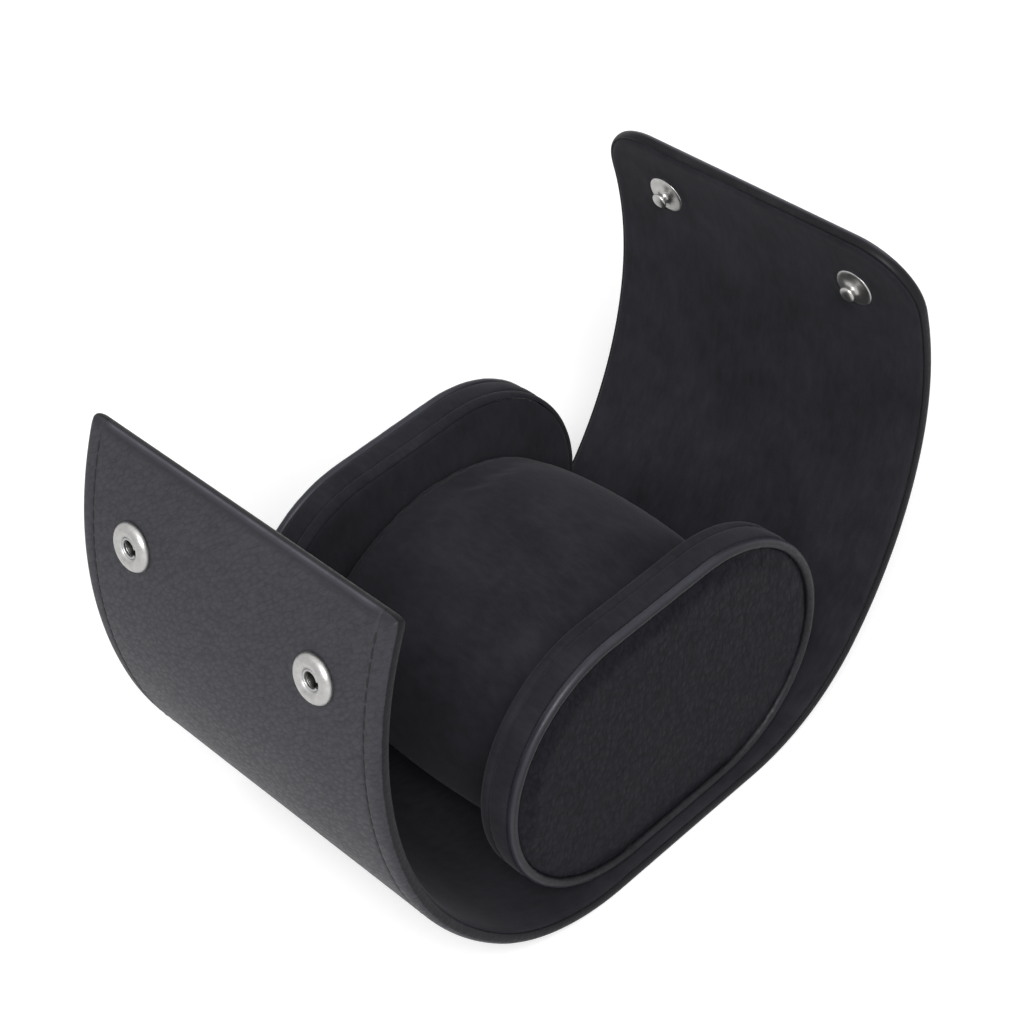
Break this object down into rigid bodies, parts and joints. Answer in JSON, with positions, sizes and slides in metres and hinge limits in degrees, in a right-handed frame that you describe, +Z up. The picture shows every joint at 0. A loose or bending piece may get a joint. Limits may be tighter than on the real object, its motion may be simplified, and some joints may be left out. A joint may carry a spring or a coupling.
{
  "type": "travel roll",
  "caption": "Soft travel roll for a bracelet or similar piece: a leather wrap that closes with snaps round padded end panels and a lift-out pillow.",
  "frame": {"origin": "middle of the wrap's flat underside", "axes": "+X across the wrap, +Y from the front flap to the back flap, +Z up"},
  "size_m": [0.085, 0.1519, 0.1113],
  "materials": {
    "pebbled_leather": "black pebbled calf, low sheen",
    "edge_leather": "black smooth turned edge",
    "suede": "black microsuede",
    "pillow_suede": "black microsuede",
    "fibre_board": "pressed fibre board",
    "foam": "open-cell foam",
    "nickel": "satin nickel plate",
    "spring_steel": "drawn spring wire"
  },
  "bodies": {
    "base": {"base_leather": "pebbled_leather", "base_stiffener": "fibre_board", "base_lining": "suede", "left_panel_lining": "suede", "left_panel_foam": "foam", "left_panel_board": "fibre_board", "left_panel_band": "suede", "left_panel_piping": "edge_leather", "left_panel_face": "pebbled_leather", "right_panel_lining": "suede", "right_panel_foam": "foam", "right_panel_board": "fibre_board", "right_panel_band": "suede", "right_panel_piping": "edge_leather", "right_panel_face": "pebbled_leather"},
    "front_lower": {"front_lower_leather": "pebbled_leather", "front_lower_stiffener": "fibre_board", "front_lower_lining": "suede"},
    "front_middle": {"front_middle_leather": "pebbled_leather", "front_middle_stiffener": "fibre_board", "front_middle_lining": "suede"},
    "front_top": {"front_top_leather": "pebbled_leather", "front_top_stiffener": "fibre_board", "front_top_lining": "suede", "socket_rings": "nickel", "socket_springs": "spring_steel", "socket_eyelets": "nickel"},
    "back_lower": {"back_lower_leather": "pebbled_leather", "back_lower_stiffener": "fibre_board", "back_lower_lining": "suede"},
    "back_middle": {"back_middle_leather": "pebbled_leather", "back_middle_stiffener": "fibre_board", "back_middle_lining": "suede"},
    "back_top": {"back_top_leather": "pebbled_leather", "back_top_stiffener": "fibre_board", "back_top_lining": "suede", "stud_posts": "nickel", "stud_caps": "nickel"},
    "pillow": {"pillow_foam": "foam", "pillow_cover": "pillow_suede", "pillow_left_end": "pillow_suede", "pillow_right_end": "pillow_suede"}
  },
  "joints": [
    {"name": "front_flap", "type": "hinge", "parent": "base", "child": "front_lower", "pos_m": [0, -0.02, 0.0017], "axis": [-1, 0, 0], "range_deg": [-4, 15.5], "stiffness_Nm_per_rad": 2},
    {"name": "front_flap_middle", "type": "hinge", "parent": "front_lower", "child": "front_middle", "pos_m": [0, -0.05212, 0.01562], "axis": [-1, 0, 0], "range_deg": [-6.58, 25.43]},
    {"name": "front_flap_top", "type": "hinge", "parent": "front_middle", "child": "front_top", "pos_m": [0, -0.06938, 0.04841], "axis": [-1, 0, 0], "range_deg": [-8.75, 33.83]},
    {"name": "back_flap", "type": "hinge", "parent": "base", "child": "back_lower", "pos_m": [0, 0.02, 0.0017], "axis": [1, 0, 0], "range_deg": [-4, 15.29], "stiffness_Nm_per_rad": 2},
    {"name": "back_flap_middle", "type": "hinge", "parent": "back_lower", "child": "back_middle", "pos_m": [0, 0.05212, 0.01562], "axis": [1, 0, 0], "range_deg": [-7.35, 28.04]},
    {"name": "back_flap_top", "type": "hinge", "parent": "back_middle", "child": "back_top", "pos_m": [0, 0.07465, 0.05741], "axis": [1, 0, 0], "range_deg": [-9.45, 36.08]},
    {"name": "pillow_lift", "type": "slide", "parent": "base", "child": "pillow", "axis": [0, 0, 1], "range_m": [0, 0.005]}
  ],
  "couplings": [
    {"joint": "front_flap_middle", "follows": "front_flap", "ratio": 1.6394},
    {"joint": "front_flap_top", "follows": "front_flap", "ratio": 2.1815},
    {"joint": "back_flap_middle", "follows": "back_flap", "ratio": 1.8324},
    {"joint": "back_flap_top", "follows": "back_flap", "ratio": 2.3583}
  ]
}
